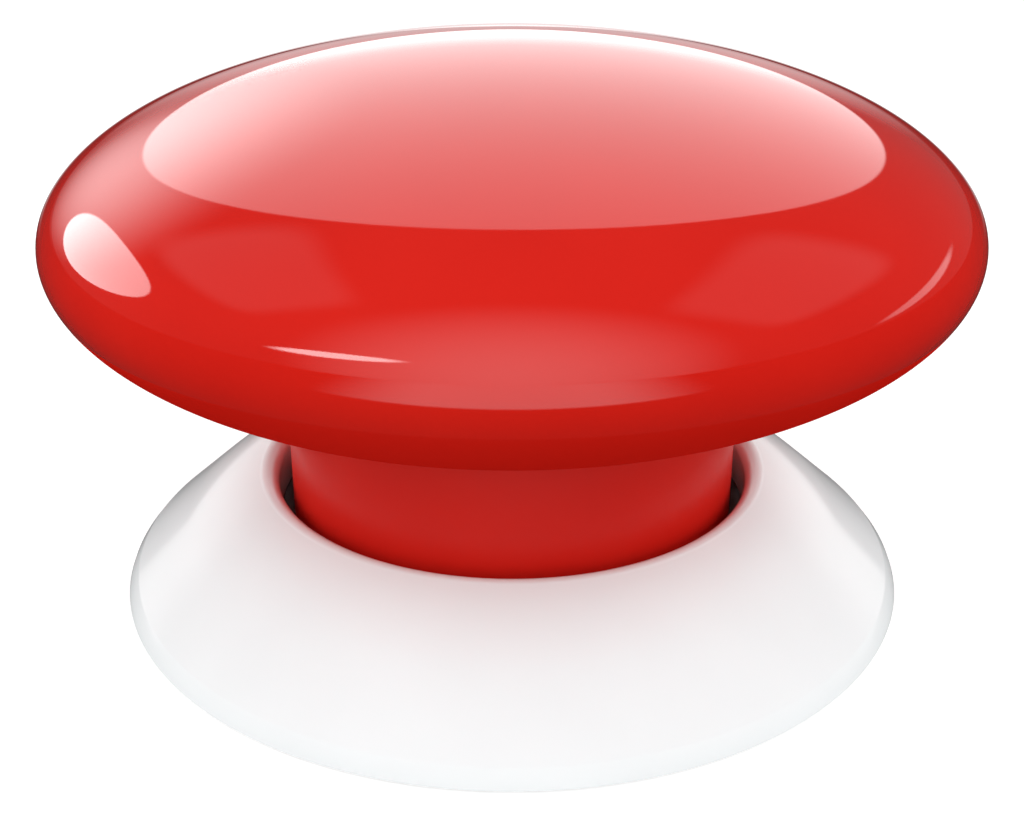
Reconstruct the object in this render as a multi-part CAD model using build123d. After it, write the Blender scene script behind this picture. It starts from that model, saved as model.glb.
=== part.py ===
from build123d import *
import math
import os

# A round push button: a red spheroid cap on a neck that slides in the well of a white
# domed base. The origin is the centre of the underside, +Z is up and +Y is away from the
# viewer. All sizes are in millimetres and all angles in degrees.

# Cap, two thin shells that meet on the widest line
cap_diameter = 46.0
equator_height = 19.42
crown_rise = 8.67
belly_drop = 8.49
cap_wall = 1.5
spigot_depth = 1.7
spigot_wall = 0.9
rib_count = 6
rib_thickness = 1.0
rib_height = 1.2
rib_hub_diameter = 7.0

# Neck of the cap
neck_wall = 1.3
neck_root_radius = 0.8
neck_gap = 0.7

# Base cover, a half spheroid on a thin flange, with a round well in its top
dish_diameter = 40.8
dish_rise = 8.73
dish_centre_height = -0.6
dish_wall = 1.4
lip_radius = 0.7
flange_width = 0.44
flange_edge = 0.25
flange_root_height = 0.95

# Floor, a twist-off lid, and the post that stands on it and works the switch
pad_thickness = 0.5
pad_stand = 0.15
pad_inset = 0.6
pad_hole_diameter = 12.0
floor_inset = 3.6
floor_thickness = 1.0
post_chamfer = 0.5
gusset_count = 4
gusset_thickness = 0.9
gusset_reach = 4.0
gusset_rise = 4.5
post_foot_height = 1.0
peg_count = 2
peg_radius = 0.8
peg_inset = 1.2
coin_slot_length = 9.0
coin_slot_width = 1.6
coin_slot_depth = 0.6

# Twist lock between the floor and the base cover
lug_count = 3
lug_reach = 0.9
lug_thickness = 0.65
lug_arc = 24.0
ledge_arc = 28.0
ledge_gap = 0.2
lug_play = 0.1
stop_arc = 3.0

# Press motion and the gaps that it needs
press_travel = 1.0
press_margin = 0.15
stop_play = 0.05
running_gap = 0.05
seat_gap = 0.1
free_gap = 0.2
post_gap = 0.1

# Carrier, the cup in the neck that holds the electronics
carrier_wall = 0.95
carrier_flange_cover = 1.45
carrier_flange_gap = 0.3
carrier_flange_thickness = 0.8
bulkhead_thickness = 1.0
switch_room = 1.45
board_rib_count = 6
board_rib_width = 1.2
board_rib_reach = 0.7
hook_count = 3
hook_width = 3.0
hook_cover = 0.3
hook_height = 0.6
key_count = 3
key_width = 1.6
key_depth = 0.9
key_gap = 0.15

# Return spring
spring_seat = 0.8
spring_wire = 0.6
spring_length = 8.1
spring_turns = 5

# Circuit board and the parts on it
board_lift = 3.8
board_thickness = 0.8
switch_width = 6.0
switch_height = 2.7
switch_wall = 0.7
switch_cavity_play = 0.3
switch_cavity_depth = 2.35
switch_plate = 0.25
plunger_stand = 1.15
plunger_flange_reach = 0.3
plunger_flange_thickness = 0.6
plunger_inner_length = 1.2
leg_width = 0.7
leg_thickness = 0.2
leg_spread = 4.5
leg_foot = 1.0
leg_start_share = 0.35
chip_width = 4.0
chip_height = 0.9
chip_edge = 0.6
crystal_length = 2.5
crystal_width = 2.0
crystal_height = 0.6
crystal_corner_radius = 0.5
crystal_edge = 2.0
crystal_angle = 222.0
antenna_length = 5.0
antenna_width = 1.2
antenna_height = 1.0
antenna_edge = 0.7
small_part_count = 6
small_part_length = 1.0
small_part_width = 0.5
small_part_height = 0.35
small_part_edge = 2.6
small_part_first_angle = 250.0
small_part_angle_step = 14.0

# Coin cell, 16 mm across and 3.2 mm high, and what holds it
cell_diameter = 16.0
cell_height = 3.2
cell_skin = 0.25
cell_seal_wall = 0.55
cell_can_lift = 0.35
holder_floor = 0.7
holder_gap = 0.2
holder_wall = 0.8
holder_play = 0.5
holder_height = 2.2
holder_window_diameter = 11.0
clip_width = 3.0
clip_thickness = 0.3
clip_slot_play = 0.2
contact_length = 8.4
contact_width = 3.0
contact_thickness = 0.2
contact_crown_share = 0.3
contact_foot_share = 0.25

# One overrun for every cut, and how many degrees a full turn has
overrun = 0.5
full_turn = 360.0

# Radii from the coin cell outwards, as each ring goes round the one before
cell_radius = cell_diameter / 2
holder_bore_radius = cell_radius + holder_gap
holder_radius = holder_bore_radius + holder_wall
carrier_bore_radius = holder_radius + holder_play
carrier_radius = carrier_bore_radius + carrier_wall
board_radius = carrier_bore_radius - free_gap
neck_bore_radius = carrier_radius + seat_gap
neck_radius = neck_bore_radius + neck_wall
well_radius = neck_radius + neck_gap
carrier_flange_radius = well_radius + carrier_flange_cover
stop_ring_radius = carrier_flange_radius + carrier_flange_gap

# Radii of the cap, the base, the switch and the spring
cap_radius = cap_diameter / 2
cap_bore_radius = cap_radius - cap_wall
dish_radius = dish_diameter / 2
flange_radius = dish_radius + flange_width
floor_radius = dish_radius - floor_inset
pad_radius = floor_radius - pad_inset
switch_cavity_radius = switch_width / 2 - switch_wall
plunger_flange_radius = switch_cavity_radius - switch_cavity_play
plunger_radius = plunger_flange_radius - plunger_flange_reach
post_radius = plunger_radius + post_chamfer
bulkhead_hole_radius = switch_width / math.sqrt(2) + switch_room
spring_bore_radius = bulkhead_hole_radius + spring_seat
spring_radius = spring_bore_radius + spring_wire / 2
post_foot_radius = spring_bore_radius - free_gap

# Heights from the ground up
crown_height = equator_height + crown_rise
floor_top = pad_thickness + floor_thickness
carrier_bottom = floor_top + press_travel + press_margin
neck_bottom = carrier_bottom + carrier_flange_thickness
stop_face = neck_bottom + stop_play
bulkhead_bottom = floor_top + spring_length
bulkhead_top = bulkhead_bottom + bulkhead_thickness
board_bottom = bulkhead_top + board_lift
board_top = board_bottom + board_thickness
switch_bottom = board_bottom - switch_height
plate_bottom = switch_bottom - switch_plate
plunger_bottom = plate_bottom - plunger_stand
post_top = plunger_bottom - post_gap
cell_bottom = board_top + holder_floor
cell_top = cell_bottom + cell_height
holder_top = board_top + holder_height
hook_bottom = holder_top + running_gap
carrier_top = hook_bottom + hook_height


def spheroid_height(radius, rise, at_radius):
    """Height over its centre of a spheroid's surface at a distance from the axis."""
    return rise * math.sqrt(1 - (at_radius / radius) ** 2)


def spheroid_radius(radius, rise, at_height):
    """Distance from the axis of a spheroid's surface at a height over its centre."""
    return radius * math.sqrt(1 - (at_height / rise) ** 2)


def ellipse_arc(radius, rise, centre_height, outer, inner, below=False):
    """Part of a half section's elliptical outline between two distances from the axis.

    One cubic curve follows up to a quarter of an ellipse to within 0.03% of its radius.
    """
    start = math.acos(outer / radius)
    end = math.acos(inner / radius)
    side = -1 if below else 1
    handle = 4 / 3 * math.tan((end - start) / 4)

    def point(turn, ahead=0.0):
        reach = radius * (math.cos(turn) - ahead * math.sin(turn))
        lift = rise * (math.sin(turn) + ahead * math.cos(turn))
        return Vector(reach, 0, centre_height + side * lift)

    return Edge.make_bezier(point(start), point(start, handle), point(end, -handle), point(end))


def line(start, end):
    """Straight outline between two (radius, height) points of a half section."""
    return Edge.make_line((start[0], 0, start[1]), (end[0], 0, end[1]))


def chain(*points):
    """Straight outlines through a row of (radius, height) points."""
    return [line(start, end) for start, end in zip(points, points[1:])]


def turned(edges):
    """Solid of revolution about Z from the closed outline of its half section."""
    return revolve(Face(Wire(edges)), Axis.Z, full_turn)


def ring(outer, inner, low, high):
    """Plain ring, or a disc where its inner radius is zero."""
    return turned(chain((inner, low), (outer, low), (outer, high), (inner, high), (inner, low)))


def sector(outer, inner, low, high, arc, angle):
    """Part of a ring that spans an arc centred on an angle about Z."""
    outline = chain((inner, low), (outer, low), (outer, high), (inner, high), (inner, low))
    wedge = revolve(Face(Wire(outline)), Axis.Z, arc)
    return Rot(0, 0, angle - arc / 2) * wedge


def block(x, y, low, high, length, width):
    """Upright box about a point, with its long side along X."""
    return Pos(x, y, (low + high) / 2) * Box(length, width, high - low)


def around(count, first=0.0):
    """Angles of a number of even places about Z."""
    return [first + full_turn * place / count for place in range(count)]


def one(shape):
    """The single solid of a shape, or all of its solids as a compound."""
    solids = shape.solids()
    return solids[0] if len(solids) == 1 else Compound(solids)


# Red cap

def cap_dome():
    spigot_bottom = equator_height - spigot_depth
    bore_drop = belly_drop - cap_wall
    spigot_radius = spheroid_radius(cap_bore_radius, bore_drop, spigot_depth) - seat_gap
    spigot_bore = spigot_radius - spigot_wall
    bore_rise = crown_rise - cap_wall
    bore_start = equator_height + spheroid_height(cap_bore_radius, bore_rise, spigot_bore)
    outline = [
        ellipse_arc(cap_radius, crown_rise, equator_height, cap_radius, 0),
        line((0, crown_height), (0, equator_height + bore_rise)),
        ellipse_arc(cap_bore_radius, bore_rise, equator_height, spigot_bore, 0),
    ]
    outline += chain(
        (spigot_bore, bore_start),
        (spigot_bore, spigot_bottom),
        (spigot_radius, spigot_bottom),
        (spigot_radius, equator_height),
        (cap_radius, equator_height),
    )
    return one(turned(outline) + dome_ribs(bore_rise, spigot_radius))


def dome_ribs(bore_rise, reach):
    skin = cap_wall / 2
    outer = half_spheroid(cap_bore_radius + skin, bore_rise + skin)
    inner = half_spheroid(cap_bore_radius - rib_height, bore_rise - rib_height)
    hub = rib_hub_diameter / 2
    bars = ring(hub + rib_thickness, hub, equator_height, crown_height)
    for angle in around(rib_count, full_turn / rib_count / 2):
        bar = block((hub + reach) / 2, 0, equator_height, crown_height, reach - hub, rib_thickness)
        bars += Rot(0, 0, angle) * bar
    return bars & (outer - inner)


def half_spheroid(radius, rise):
    top = equator_height + rise
    outline = [ellipse_arc(radius, rise, equator_height, radius, 0)]
    outline += chain((0, top), (0, equator_height), (radius, equator_height))
    return turned(outline)


def cap_skirt():
    bore_drop = belly_drop - cap_wall
    belly_end = equator_height - spheroid_height(cap_radius, belly_drop, neck_radius)
    bore_end = equator_height - spheroid_height(cap_bore_radius, bore_drop, neck_bore_radius)
    outline = [
        ellipse_arc(cap_radius, belly_drop, equator_height, cap_radius, neck_radius, below=True),
        ellipse_arc(cap_bore_radius, bore_drop, equator_height, cap_bore_radius,
                    neck_bore_radius, below=True),
        line((cap_bore_radius, equator_height), (cap_radius, equator_height)),
    ]
    outline += chain(
        (neck_radius, belly_end),
        (neck_radius, neck_bottom),
        (neck_bore_radius, neck_bottom),
        (neck_bore_radius, bore_end),
    )
    skirt = turned(outline)
    root = skirt.edges().filter_by(GeomType.CIRCLE).sort_by(
        lambda edge: abs(edge.radius - neck_radius) + abs(edge.center().Z - belly_end)
    )[0]
    return one(fillet(root, neck_root_radius))


# White base

def base_cover():
    bore_radius = dish_radius - dish_wall
    bore_rise = dish_rise - dish_wall
    ledge_radius = floor_radius + ledge_gap
    lug_bore = floor_radius + lug_reach + ledge_gap
    seat_radius = (ledge_radius + lug_bore) / 2
    seat_height = floor_top + lug_play

    def outside(radius):
        return dish_centre_height + spheroid_height(dish_radius, dish_rise, radius)

    def inside(radius):
        return dish_centre_height + spheroid_height(bore_radius, bore_rise, radius)

    root_lift = flange_root_height - dish_centre_height
    root_radius = spheroid_radius(dish_radius, dish_rise, root_lift)
    outline = [
        ellipse_arc(dish_radius, dish_rise, dish_centre_height, root_radius, well_radius),
        ellipse_arc(bore_radius, bore_rise, dish_centre_height, seat_radius, stop_ring_radius),
    ]
    outline += chain(
        (well_radius, outside(well_radius)),
        (well_radius, stop_face),
        (stop_ring_radius, stop_face),
        (stop_ring_radius, inside(stop_ring_radius)),
    )
    outline += chain(
        (seat_radius, inside(seat_radius)),
        (seat_radius, seat_height),
        (lug_bore, seat_height),
        (lug_bore, pad_stand),
        (flange_radius, pad_stand),
        (flange_radius, pad_stand + flange_edge),
        (root_radius, flange_root_height),
    )
    cover = turned(outline)
    cover = fillet(cover.edges().sort_by(Axis.Z)[-1], lip_radius)
    ledge_top = floor_top - lug_thickness - lug_play
    in_wall = lug_bore + lug_reach / 2
    for angle in around(lug_count):
        cover += sector(in_wall, ledge_radius, pad_stand, ledge_top, ledge_arc, angle)
        stop_angle = angle - (lug_arc + stop_arc) / 2 - stop_play_angle(lug_bore)
        cover += sector(in_wall, ledge_radius, pad_stand, seat_height, stop_arc, stop_angle)
    key_inner = carrier_flange_radius - key_depth + key_gap
    key_outer = stop_ring_radius + dish_wall / 2
    key_low = carrier_bottom - press_travel
    key_high = stop_face + dish_wall / 2
    for angle in around(key_count, full_turn / key_count / 2):
        key = block((key_inner + key_outer) / 2, 0, key_low, key_high, key_outer - key_inner, key_width)
        cover += Rot(0, 0, angle) * key
    return one(cover)


def stop_play_angle(radius):
    """Angle that a clearance takes at a distance from the axis."""
    return math.degrees(free_gap / radius)


def base_floor():
    plate = ring(floor_radius, 0, pad_thickness, floor_top)
    lug_low = floor_top - lug_thickness
    for angle in around(lug_count):
        plate += sector(floor_radius + lug_reach, floor_radius - lug_reach, lug_low, floor_top, lug_arc, angle)
    for peg in pegs(peg_radius + running_gap, pad_thickness - overrun, floor_top + overrun):
        plate -= peg
    slot_low = pad_thickness - overrun
    slot = block(0, 0, slot_low, pad_thickness + coin_slot_depth, coin_slot_length, coin_slot_width)
    return one(plate - slot)


def pegs(radius, low, high):
    """Upright pegs under the foot of the post, beside the coin slot."""
    reach = post_foot_radius - peg_inset
    return [Rot(0, 0, angle) * Pos(reach, 0, 0) * ring(radius, 0, low, high)
            for angle in around(peg_count, full_turn / 4)]


def switch_post():
    post = ring(post_foot_radius, 0, floor_top, floor_top + post_foot_height)
    post += ring(post_radius, 0, floor_top, post_top)
    for angle in around(gusset_count, full_turn / gusset_count / 2):
        post += Rot(0, 0, angle) * gusset()
    tip = post.edges().filter_by(GeomType.CIRCLE).sort_by(Axis.Z)[-1]
    post = chamfer(tip, post_chamfer)
    for peg in pegs(peg_radius, pad_thickness, floor_top + post_foot_height / 2):
        post += peg
    return one(post)


def gusset():
    foot = post_radius + gusset_reach
    sheet = Face(Wire(chain((0, floor_top), (foot, floor_top), (post_radius, floor_top + gusset_rise),
                            (0, floor_top + gusset_rise), (0, floor_top))))
    return extrude(sheet, gusset_thickness / 2, dir=(0, 1, 0), both=True)


def foot_pad():
    return one(ring(pad_radius, pad_hole_diameter / 2, 0, pad_thickness))


# Carrier in the neck, with the circuit board and the coin cell

def carrier():
    cup = ring(carrier_radius, carrier_bore_radius, carrier_bottom, carrier_top)
    cup += ring(carrier_flange_radius, carrier_bore_radius, carrier_bottom, neck_bottom)
    cup += ring(carrier_radius, bulkhead_hole_radius, bulkhead_bottom, bulkhead_top)
    in_wall = carrier_bore_radius + carrier_wall / 2
    for angle in around(board_rib_count):
        inner = carrier_bore_radius - board_rib_reach
        rib = block((inner + in_wall) / 2, 0, bulkhead_bottom, board_bottom, in_wall - inner, board_rib_width)
        cup += Rot(0, 0, angle) * rib
    for angle in around(hook_count, full_turn / hook_count / 2):
        inner = holder_radius - hook_cover
        hook = block((inner + in_wall) / 2, 0, hook_bottom, carrier_top, in_wall - inner, hook_width)
        cup += Rot(0, 0, angle) * hook
    for angle in around(key_count, full_turn / key_count / 2):
        outer = carrier_flange_radius + overrun
        inner = carrier_flange_radius - key_depth
        notch = block((inner + outer) / 2, 0, carrier_bottom - overrun, neck_bottom + overrun,
                      outer - inner, key_width + key_gap + key_gap)
        cup -= Rot(0, 0, angle) * notch
    return one(cup)


def circuit_board():
    return one(ring(board_radius, 0, board_bottom, board_top))


def cell_holder():
    cup = ring(holder_radius, holder_window_diameter / 2, board_top, cell_bottom)
    cup += ring(holder_radius, holder_bore_radius, board_top, holder_top)
    slot_length = holder_radius + overrun
    slot_low = board_top - overrun
    slots = block(0, 0, slot_low, holder_top + overrun, slot_length + slot_length,
                  clip_width + clip_slot_play + clip_slot_play)
    inner = ring(cell_radius, 0, slot_low, holder_top + overrun)
    return one(cup - (slots - inner))


def cell_can():
    low = cell_bottom + cell_can_lift
    bore = cell_radius - cell_skin
    return one(turned(chain((bore, low), (cell_radius, low), (cell_radius, cell_top), (0, cell_top),
                            (0, cell_top - cell_skin), (bore, cell_top - cell_skin), (bore, low))))


def cell_seal():
    bore = cell_radius - cell_skin
    return one(ring(bore, bore - cell_seal_wall, cell_bottom + cell_can_lift, cell_top - cell_skin))


def cell_cap():
    radius = cell_radius - cell_skin - cell_seal_wall
    return one(ring(radius, 0, cell_bottom, cell_top - cell_skin))


def positive_clip():
    leg = cell_radius + clip_thickness
    bow = chain((leg, board_top), (leg, cell_top + clip_thickness), (-leg, cell_top + clip_thickness),
                (-leg, board_top), (-cell_radius, board_top), (-cell_radius, cell_top),
                (cell_radius, cell_top), (cell_radius, board_top), (leg, board_top))
    return one(extrude(Face(Wire(bow)), clip_width / 2, dir=(0, 1, 0), both=True))


def negative_contact():
    half = contact_length / 2
    foot = half * (1 - contact_foot_share)
    crown = half * contact_crown_share
    low = board_top
    rise = cell_bottom - contact_thickness
    leaf = chain((-half, low), (-foot, low), (-crown, rise), (crown, rise), (foot, low), (half, low),
                 (half, low + contact_thickness), (foot, low + contact_thickness), (crown, cell_bottom),
                 (-crown, cell_bottom), (-foot, low + contact_thickness), (-half, low + contact_thickness),
                 (-half, low))
    return one(extrude(Face(Wire(leaf)), contact_width / 2, dir=(0, 1, 0), both=True))


def switch_housing():
    body = block(0, 0, switch_bottom, board_bottom, switch_width, switch_width)
    cavity = ring(switch_cavity_radius, 0, switch_bottom - overrun, switch_bottom + switch_cavity_depth)
    return one(body - cavity)


def switch_cover():
    plate = block(0, 0, plate_bottom, switch_bottom, switch_width, switch_width)
    hole = ring(plunger_radius + running_gap, 0, plate_bottom - overrun, switch_bottom + overrun)
    return one(plate - hole)


def switch_legs():
    start = switch_width / 2
    low = switch_bottom + switch_height * leg_start_share
    leg = block(start + leg_thickness / 2, 0, low, board_bottom, leg_thickness, leg_width)
    leg += block(start + leg_foot / 2, 0, board_bottom - leg_thickness, board_bottom, leg_foot, leg_width)
    legs = []
    for turn in around(2):
        for side in (-leg_spread / 2, leg_spread / 2):
            legs.append(Rot(0, 0, turn) * Pos(0, side, 0) * leg)
    return Compound([one(piece) for piece in legs])


def switch_plunger():
    stem = ring(plunger_radius, 0, plunger_bottom, switch_bottom + plunger_inner_length)
    collar_top = switch_bottom + plunger_flange_thickness
    return one(stem + ring(plunger_flange_radius, 0, switch_bottom, collar_top))


def radio_chip():
    place = board_radius - chip_edge - chip_width / 2
    return one(block(0, place, board_bottom - chip_height, board_bottom, chip_width, chip_width))


def crystal():
    reach = board_radius - crystal_edge
    x = reach * math.cos(math.radians(crystal_angle))
    y = reach * math.sin(math.radians(crystal_angle))
    can = block(x, y, board_bottom - crystal_height, board_bottom, crystal_length, crystal_width)
    return one(fillet(can.edges().filter_by(Axis.Z), crystal_corner_radius))


def chip_antenna():
    place = board_radius - antenna_edge - antenna_width / 2
    low = board_bottom - antenna_height
    return one(block(place, 0, low, board_bottom, antenna_width, antenna_length))


def chip_parts():
    parts = []
    reach = board_radius - small_part_edge
    low = board_bottom - small_part_height
    for place in range(small_part_count):
        angle = small_part_first_angle + small_part_angle_step * place
        part = block(reach, 0, low, board_bottom, small_part_width, small_part_length)
        parts.append(one(Rot(0, 0, angle) * part))
    return Compound(parts)


# Return spring, an open coil between the floor and the carrier's bulkhead

def spring_point(turn):
    """Point and unit tangent of the wire's centre line after a number of turns."""
    pitch = (spring_length - spring_wire) / spring_turns
    angle = math.radians(full_turn * turn)
    height = floor_top + spring_wire / 2 + pitch * turn
    point = Vector(spring_radius * math.cos(angle), spring_radius * math.sin(angle), height)
    climb = pitch / math.radians(full_turn)
    tangent = Vector(-spring_radius * math.sin(angle), spring_radius * math.cos(angle), climb)
    return point, tangent.normalized()


def biarc(start, start_tangent, end, end_tangent):
    """Two arcs that join two points and keep the direction of both."""
    span = end - start
    tangents = start_tangent + end_tangent
    bend = 4 - tangents.dot(tangents)
    reach = span.dot(tangents)
    handle = (math.sqrt(reach ** 2 + bend * span.dot(span)) - reach) / bend
    first = start + start_tangent * handle
    second = end - end_tangent * handle
    middle = (first + second) * 0.5
    return [TangentArc(start, middle, tangent=start_tangent),
            TangentArc(middle, end, tangent=second - first)]


def return_spring():
    quarters = 4 * spring_turns
    arcs = []
    for quarter in range(quarters):
        start, start_tangent = spring_point(quarter / 4)
        end, end_tangent = spring_point((quarter + 1) / 4)
        arcs += biarc(start, start_tangent, end, end_tangent)
    start, start_tangent = spring_point(0)
    section = Plane(origin=start, z_dir=start_tangent) * Circle(spring_wire / 2)
    return one(sweep(section, path=Wire([arc.edge() for arc in arcs])))


def print_spring_gap():
    pitch = (spring_length - spring_wire) / spring_turns
    print("return spring: least gap to itself", round(pitch - spring_wire, 3), "at rest,",
          round(pitch - spring_wire - press_travel / spring_turns, 3), "pressed")


nodes = {
    "cap_dome": cap_dome,
    "cap_skirt": cap_skirt,
    "base_cover": base_cover,
    "base_floor": base_floor,
    "switch_post": switch_post,
    "foot_pad": foot_pad,
    "carrier": carrier,
    "circuit_board": circuit_board,
    "cell_holder": cell_holder,
    "cell_can": cell_can,
    "cell_seal": cell_seal,
    "cell_cap": cell_cap,
    "positive_clip": positive_clip,
    "negative_contact": negative_contact,
    "switch_housing": switch_housing,
    "switch_cover": switch_cover,
    "switch_legs": switch_legs,
    "switch_plunger": switch_plunger,
    "radio_chip": radio_chip,
    "crystal": crystal,
    "chip_antenna": chip_antenna,
    "chip_parts": chip_parts,
    "return_spring": return_spring,
}

os.makedirs("parts", exist_ok=True)
for name, make in nodes.items():
    export_step(make(), f"parts/{name}.step")
print_spring_gap()
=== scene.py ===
import math

import bmesh
import bpy
from mathutils import Matrix, Vector

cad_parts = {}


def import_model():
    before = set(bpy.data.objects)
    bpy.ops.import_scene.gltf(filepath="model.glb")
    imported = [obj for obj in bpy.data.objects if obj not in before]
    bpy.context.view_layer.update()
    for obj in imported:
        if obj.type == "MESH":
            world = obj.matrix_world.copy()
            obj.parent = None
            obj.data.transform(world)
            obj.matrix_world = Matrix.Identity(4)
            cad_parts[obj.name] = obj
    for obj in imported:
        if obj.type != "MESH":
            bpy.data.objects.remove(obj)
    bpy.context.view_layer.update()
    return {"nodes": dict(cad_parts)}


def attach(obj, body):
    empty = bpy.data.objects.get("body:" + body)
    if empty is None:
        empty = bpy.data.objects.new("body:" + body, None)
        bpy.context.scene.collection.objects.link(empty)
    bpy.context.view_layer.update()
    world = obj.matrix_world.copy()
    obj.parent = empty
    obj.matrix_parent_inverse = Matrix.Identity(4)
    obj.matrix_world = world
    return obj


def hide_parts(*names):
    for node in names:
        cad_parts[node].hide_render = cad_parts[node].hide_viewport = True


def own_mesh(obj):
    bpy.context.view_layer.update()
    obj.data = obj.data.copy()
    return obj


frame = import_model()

# Sizes in millimetres and angles in degrees, the same as the construction model's
SEAT_GAP = 0.1
FREE_GAP = 0.2
CAP_RADIUS = 23.0
EQUATOR = 19.42
CROWN_RISE = 8.67
BELLY_DROP = 8.49
CAP_WALL = 1.5
SPIGOT_DEPTH = 1.7
SPIGOT_WALL = 0.9
RIB_COUNT = 6
RIB_THICKNESS = 1.0
RIB_HEIGHT = 1.2
RIB_OUTER_ARC = (18, 80)
RIB_INNER_ARC = (80, 22)
NECK_RADIUS = 11.85
NECK_WALL = 1.3
NECK_BOTTOM = 3.45
NECK_ROOT = 0.8
NECK_EDGE = 0.2
DISH_RADIUS = 20.4
DISH_RISE = 8.73
DISH_CENTRE = -0.6
DISH_WALL = 1.4
WELL_RADIUS = 12.55
LIP_RADIUS = 0.7
STOP_FACE = 3.5
STOP_RING_RADIUS = 14.3
FLANGE_RADIUS = 20.84
PAD_STAND = 0.15
PAD_THICKNESS = 0.5
PAD_RADIUS = 16.2
PAD_HOLE_RADIUS = 6.0
PAD_EDGE = 0.1
FLOOR_RADIUS = 16.8
FLOOR_TOP = 1.5
LUG_REACH = 0.9
LUG_THICKNESS = 0.65
LUG_PLAY = 0.1
LEDGE_GAP = 0.2
LEDGE_ARC = 28.0
LUG_ARC = 24.0
STOP_ARC = 3.0
LUG_COUNT = 3
KEY_COUNT = 3
KEY_WIDTH = 1.6
KEY_INNER = 13.25
KEY_LOW = 1.65
SPRING_RADIUS = 6.8
SPRING_WIRE = 0.3
SPRING_LENGTH = 8.1
SPRING_TURNS = 5

# Height below which the cap's mould is not polished, and below which the belly away from the neck gets a
# darker red as painted shade
POLISH_AND_PAINTED_SHADE_END = 17.7

# Outside of the base cover as the photograph shows it, in (radius, height) points: the crown bends over a
# shoulder into a straight cone, and the cone ends on a steep rim band
SHOULDER_START = 13.5
SHOULDER_PULL = (15.6, 5.15)
SHOULDER_END = (17.5, 3.475)
CONE_START = (20.25, 1.044)
CONE_END = (20.3, 1.0)
RIM_BAND = [(20.7, 0.5), (20.34, 0.95)]

# Numbers of steps that the curves are drawn in
TURN_STEPS = 320
PAD_TURN_STEPS = 192
OUTSIDE_STEPS = 96
INSIDE_STEPS = 48
RIB_STEPS = 24
CROWN_STEPS = 24
BORE_STEPS = 32
SHOULDER_STEPS = 48
LIP_STEPS = 16
CORNER_STEPS = 8
SECTOR_STEPS = 24
WIRE_STEPS = 16
COIL_STEPS = 64
# Points of a turned piece that are closer than this are joined, in millimetres
JOIN_DISTANCE = 0.0005
# Edges sharper than this are not shaded smooth, in degrees
SHARP_ANGLE = 35.0

# Values between which most of a random pattern lies, where its whole span is from 0 to 1
SPOTS_MIDDLE = (0.3, 0.7)

# Tracks of the circuit board, in millimetres; a track's edge fades between two shares of the spacing
TRACK_SPACING = 1.6
TRACK_HEIGHT = 0.03
TRACK_EDGE_SHARES = (0.06, 0.1)
BOARD_GLOSS_SPOTS = 0.8

# Camera: lengths in millimetres, the tilt in radians
CAMERA_DISTANCE = 76.3
CAMERA_TILT = 0.4293
CAMERA_AIM = 8.65
LENS = 50.0
SENSOR_WIDTH = 36.0
NEAREST_SEEN = 1.0
# How far the lamps and reflectors stand from the cap, in millimetres
STAGE_DISTANCE = 600

# Brightness of the sky and the paper floor, where 1 is white, and the size of the paper's mottling
SKY_ON_DULL = 0.48
SKY_IN_GLOSS = 0.12
PAPER_GREY = (0.5, 0.52)
PAPER_SPOTS = 30.0
PAPER_NEAR = 0.68
PAPER_FAR = 1.0
# Brightness of the floor in reflections, which is painted: dark as painted shadow near the object, bright as
# painted light behind and in front
FLOOR_FAR_PAINTED_GLOW = 1.0
FLOOR_NEAR_PAINTED_SHADOW = 0.03
FLOOR_FRONT_PAINTED_GLOW = 1.85

# Where the floor's brightness and its painted shadow and painted light in reflections change, in millimetres
# from the object's axis
PAPER_FADE = (200, 700)
BEHIND_FADE = (70, 110)
BEHIND_SIDES = (90, 45)
FRONT_NEAR_FADE = (48, 52)
FRONT_FAR_FADE = (600, 590)
# How far to the side the painted bright patch in front fades, as a share of the distance ahead
FRONT_SLANT = (0.25, 0.8)
# How far the paper floor reaches along X and Y, in millimetres
FLOOR_REACH = 3000


def mm(value):
    """Metres from millimetres."""
    return value / 1000


def srgb(code):
    """Linear colour of an sRGB hex code."""
    levels = [int(code[place:place + 2], 16) / 255 for place in (0, 2, 4)]
    return tuple(level / 12.92 if level <= 0.04045 else ((level + 0.055) / 1.055) ** 2.4
                 for level in levels) + (1.0,)


def add(tree, kind, values=None, wires=None, **settings):
    """Adds a node: settings are its properties, values its constants and wires its incoming links.

    A socket goes by its name, or by its number where several of a node's sockets share a name.
    """
    made = tree.nodes.new(kind)
    for name, value in settings.items():
        setattr(made, name, value)
    for name, value in (values or {}).items():
        made.inputs[name].default_value = value
    for name, source in (wires or {}).items():
        tree.links.new(source, made.inputs[name])
    return made


# Materials

def principled(name):
    """An empty material with its shader, the output and the object's own coordinates."""
    made = bpy.data.materials.new(name)
    made.use_nodes = True
    tree = made.node_tree
    tree.nodes.clear()
    shader = add(tree, "ShaderNodeBsdfPrincipled")
    add(tree, "ShaderNodeOutputMaterial", wires={"Surface": shader.outputs["BSDF"]})
    place = add(tree, "ShaderNodeTexCoord").outputs["Object"]
    return made, tree, shader, place


def mottled(tree, place, size, reach=None, detail=2.0, stretch=(1, 1, 1)):
    """Soft random spots about size millimetres wide, spread over a reach where one is given."""
    scaled = add(tree, "ShaderNodeMapping", {"Scale": stretch}, {"Vector": place})
    spots = add(tree, "ShaderNodeTexNoise", {"Scale": 1 / mm(size), "Detail": detail},
                {"Vector": scaled.outputs["Vector"]}).outputs["Fac"]
    if reach is None:
        return spots
    low, high = reach
    return add(tree, "ShaderNodeMapRange",
               {"From Min": SPOTS_MIDDLE[0], "From Max": SPOTS_MIDDLE[1], "To Min": low, "To Max": high},
               {"Value": spots}).outputs["Result"]


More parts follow.
